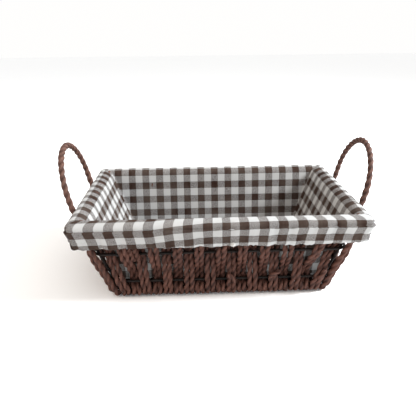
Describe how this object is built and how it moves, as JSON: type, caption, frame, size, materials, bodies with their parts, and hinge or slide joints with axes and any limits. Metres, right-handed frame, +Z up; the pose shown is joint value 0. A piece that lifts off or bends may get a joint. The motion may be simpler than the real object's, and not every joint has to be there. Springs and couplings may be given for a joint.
{
  "type": "bread basket",
  "caption": "Oblong open basket of twisted paper rope woven on a wire frame, with looped rope end handles and a checked cloth liner cuffed over the rim.",
  "frame": {"origin": "on the table, under the middle of the basket", "axes": "+X along the basket's length towards the right handle, +Y from the front long wall to the back one, +Z up"},
  "size_m": [0.3722, 0.2194, 0.1593],
  "materials": {
    "wall_rope": "matt twisted paper rope, dark red-brown",
    "handle_rope": "matt twisted paper rope, mid brown",
    "frame_wire": "black enamel, satin",
    "gingham": "plain-weave cotton-linen, brown and white checks",
    "hem": "gathered cotton casing over elastic"
  },
  "bodies": {
    "root": {"rim_wire": "frame_wire", "upper_ring_wire": "frame_wire", "lower_ring_wire": "frame_wire", "base_ring_wire": "frame_wire", "post_front_left": "frame_wire", "post_front_right": "frame_wire", "post_back_left": "frame_wire", "post_back_right": "frame_wire", "floor_wire_front": "frame_wire", "floor_wire_middle": "frame_wire", "floor_wire_back": "frame_wire", "ring_splice": "frame_wire", "front_outer_ropes": "wall_rope", "front_inner_ropes": "wall_rope", "back_outer_ropes": "wall_rope", "back_inner_ropes": "wall_rope", "left_outer_ropes": "wall_rope", "left_inner_ropes": "wall_rope", "right_outer_ropes": "wall_rope", "right_inner_ropes": "wall_rope", "corner_rope_front_left": "wall_rope", "corner_rope_front_right": "wall_rope", "corner_rope_back_left": "wall_rope", "corner_rope_back_right": "wall_rope", "floor_ropes_low_edge": "wall_rope", "floor_ropes_high_edge": "wall_rope", "short_rope_pair": "wall_rope", "loose_rope_ends": "wall_rope", "left_handle_wire": "frame_wire", "left_handle_rope": "handle_rope", "left_handle_ties": "handle_rope", "right_handle_wire": "frame_wire", "right_handle_rope": "handle_rope", "right_handle_ties": "handle_rope", "liner_floor": "gingham", "liner_front": "gingham", "liner_back": "gingham", "liner_left": "gingham", "liner_right": "gingham", "cuff_front": "gingham", "cuff_back": "gingham", "cuff_left": "gingham", "cuff_right": "gingham", "left_leg_pockets": "gingham", "right_leg_pockets": "gingham", "hem_elastic": "hem", "elastic_knot": "hem"}
  },
  "joints": []
}
